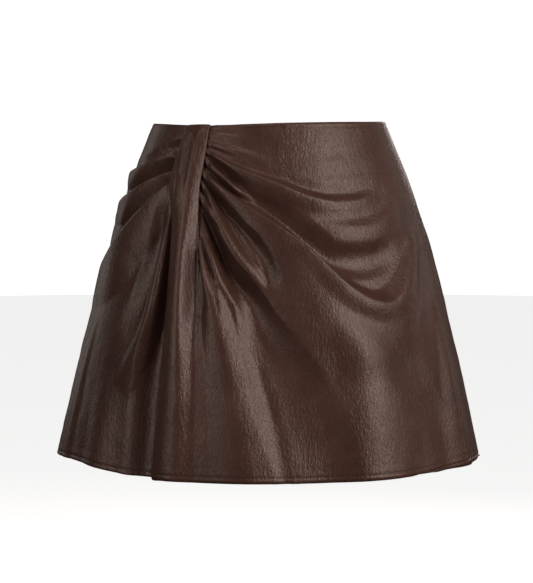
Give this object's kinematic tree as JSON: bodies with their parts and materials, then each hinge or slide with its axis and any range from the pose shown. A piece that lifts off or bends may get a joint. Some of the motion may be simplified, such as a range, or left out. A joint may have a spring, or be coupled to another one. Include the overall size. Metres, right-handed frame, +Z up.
{
  "type": "skort",
  "caption": "Mini skort: an A-line faux-leather skirt with a gathered, draped asymmetric front and a concealed back zip, over plain inner shorts.",
  "frame": {"origin": "centre of the waist opening, where the wearer's waist holds the skort up", "axes": "+X to the wearer's left, -Y out of the wearer's front, +Z up out of the waist opening"},
  "size_m": [0.4671, 0.3544, 0.3724],
  "materials": {
    "faux_leather": "dark brown grained faux leather, semi-gloss",
    "lining_jersey": "matt dark brown stretch jersey",
    "zip_tape": "woven dark brown zip tape",
    "zip_metal": "dark brown lacquered metal"
  },
  "bodies": {
    "skort": {"front_drape": "faux_leather", "front_pleated": "faux_leather", "back_left": "faux_leather", "back_right": "faux_leather", "shorts_left": "lining_jersey", "shorts_right": "lining_jersey", "zip_tape_left": "zip_tape", "zip_tape_right": "zip_tape", "zip_slider": "zip_metal"},
    "pull": {"zip_pull": "zip_metal"}
  },
  "joints": [
    {"name": "zip_pull_swing", "type": "hinge", "parent": "skort", "child": "pull", "pos_m": [0, 0.10293, -0.0159], "axis": [1, 0, 0], "range_deg": [0, 150]}
  ]
}
